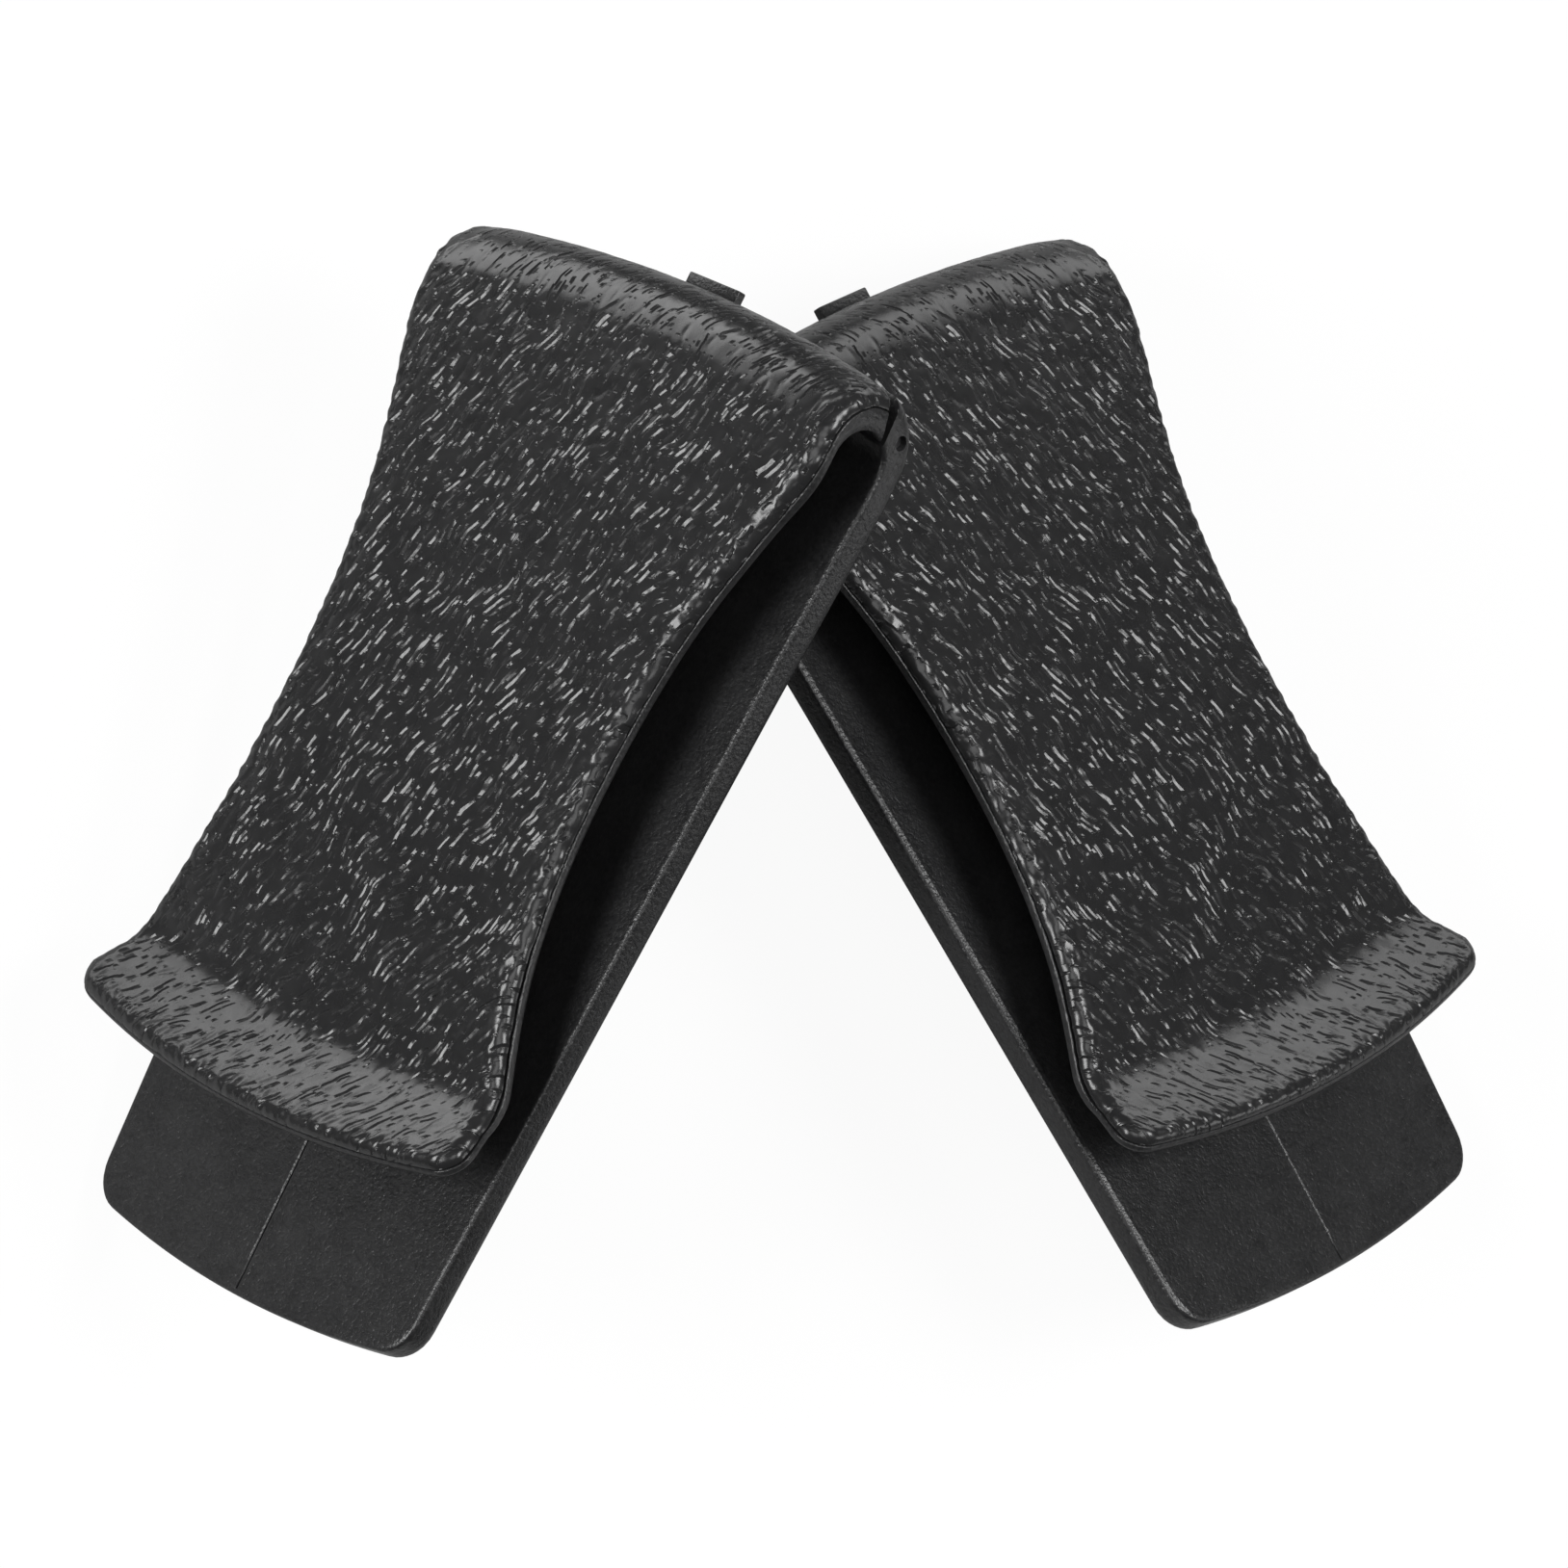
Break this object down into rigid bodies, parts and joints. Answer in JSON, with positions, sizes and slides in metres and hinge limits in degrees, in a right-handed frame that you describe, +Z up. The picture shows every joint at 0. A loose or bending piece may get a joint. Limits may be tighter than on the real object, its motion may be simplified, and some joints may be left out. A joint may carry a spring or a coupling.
{
  "type": "spring clip pair",
  "caption": "Pair of black folded spring clips, each a smooth rear plate and a shorter grained front arm hinged at a rounded crown, laid as an inverted V.",
  "frame": {"origin": "centre of the pair's footprint, on the surface it lies on", "axes": "+Z up from the surface; +X from the left clip to the right one; +Y from the feet towards the crossed crowns"},
  "size_m": [0.0982, 0.0824, 0.0458],
  "materials": {
    "grained_plastic": "leather grain, satin",
    "smooth_plastic": "fine satin",
    "steel": "dark, semi-matt",
    "spring_steel": "blued, semi-matt"
  },
  "bodies": {
    "clip_plates": {"left_rear_plate": "smooth_plastic", "left_hinge_pin": "steel", "right_rear_plate": "smooth_plastic", "right_hinge_pin": "steel"},
    "left_arm": {"left_front_liner": "smooth_plastic", "left_grained_cover": "grained_plastic", "left_leaf_spring": "spring_steel"},
    "right_arm": {"right_front_liner": "smooth_plastic", "right_grained_cover": "grained_plastic", "right_leaf_spring": "spring_steel"}
  },
  "joints": [
    {"name": "left_arm_hinge", "type": "hinge", "parent": "clip_plates", "child": "left_arm", "pos_m": [-0.01084, 0.02632, 0.02694], "axis": [-0.5501, 0.4255, -0.7186], "range_deg": [-3, 8], "stiffness_Nm_per_rad": 0.6, "deforming": ["left_leaf_spring"]},
    {"name": "right_arm_hinge", "type": "hinge", "parent": "clip_plates", "child": "right_arm", "pos_m": [0.00405, 0.02955, 0.01082], "axis": [-0.7655, -0.4366, 0.4726], "range_deg": [-3, 8], "stiffness_Nm_per_rad": 0.6, "deforming": ["right_leaf_spring"]}
  ]
}
